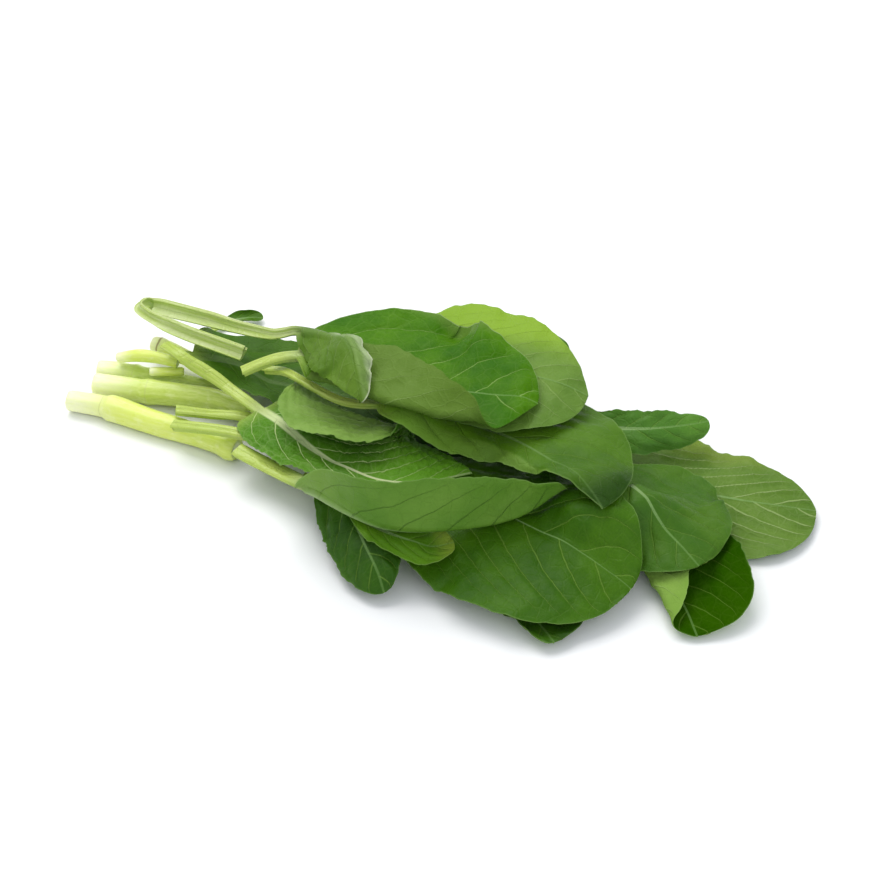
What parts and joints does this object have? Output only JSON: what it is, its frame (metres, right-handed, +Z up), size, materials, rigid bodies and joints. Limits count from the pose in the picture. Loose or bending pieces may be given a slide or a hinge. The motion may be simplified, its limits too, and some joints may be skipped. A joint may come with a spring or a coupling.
{
  "type": "choy sum bunch",
  "caption": "Loose bunch of choy sum lying on its side: pale cut stems at one end, broad overlapping green leaves with pale midribs fanning out at the other.",
  "frame": {"origin": "centre of the bunch's outline on the surface it lies on (middle of the bounding box's base)", "axes": "+X along the bunch from the cut stems to the leaf tips, +Y away from the picture's viewer, +Z up from the surface"},
  "size_m": [0.3485, 0.2364, 0.0603],
  "materials": {
    "stem_pale_green": "smooth, waxy, pale yellow-green",
    "leaf_green": "satin leaf, mid green",
    "leaf_bright_green": "matt leaf underside, lighter green",
    "leaf_deep_green": "satin leaf, deep green"
  },
  "bodies": {
    "root": {"stem_front": "stem_pale_green", "stem_middle": "stem_pale_green", "stem_back": "stem_pale_green", "stem_far": "stem_pale_green", "stalk_stub_low": "stem_pale_green", "stalk_stub_high": "stem_pale_green", "stalk_stub_end": "stem_pale_green", "leaf_front_tip": "leaf_deep_green", "leaf_back_low": "leaf_deep_green", "leaf_shaded": "leaf_deep_green", "leaf_rolled_small": "leaf_green", "leaf_right_end": "leaf_bright_green", "leaf_cone": "leaf_green", "leaf_middle_low": "leaf_deep_green", "leaf_right_middle": "leaf_green", "leaf_right_rolled": "leaf_green", "leaf_front_wide": "leaf_green", "leaf_front_dark": "leaf_deep_green", "leaf_front_curled": "leaf_green", "leaf_cigar": "leaf_bright_green", "leaf_pale_rib": "leaf_green", "leaf_drooping": "leaf_green", "leaf_top_bright": "leaf_bright_green", "leaf_folded": "leaf_green", "leaf_crumpled": "leaf_bright_green"}
  },
  "joints": []
}
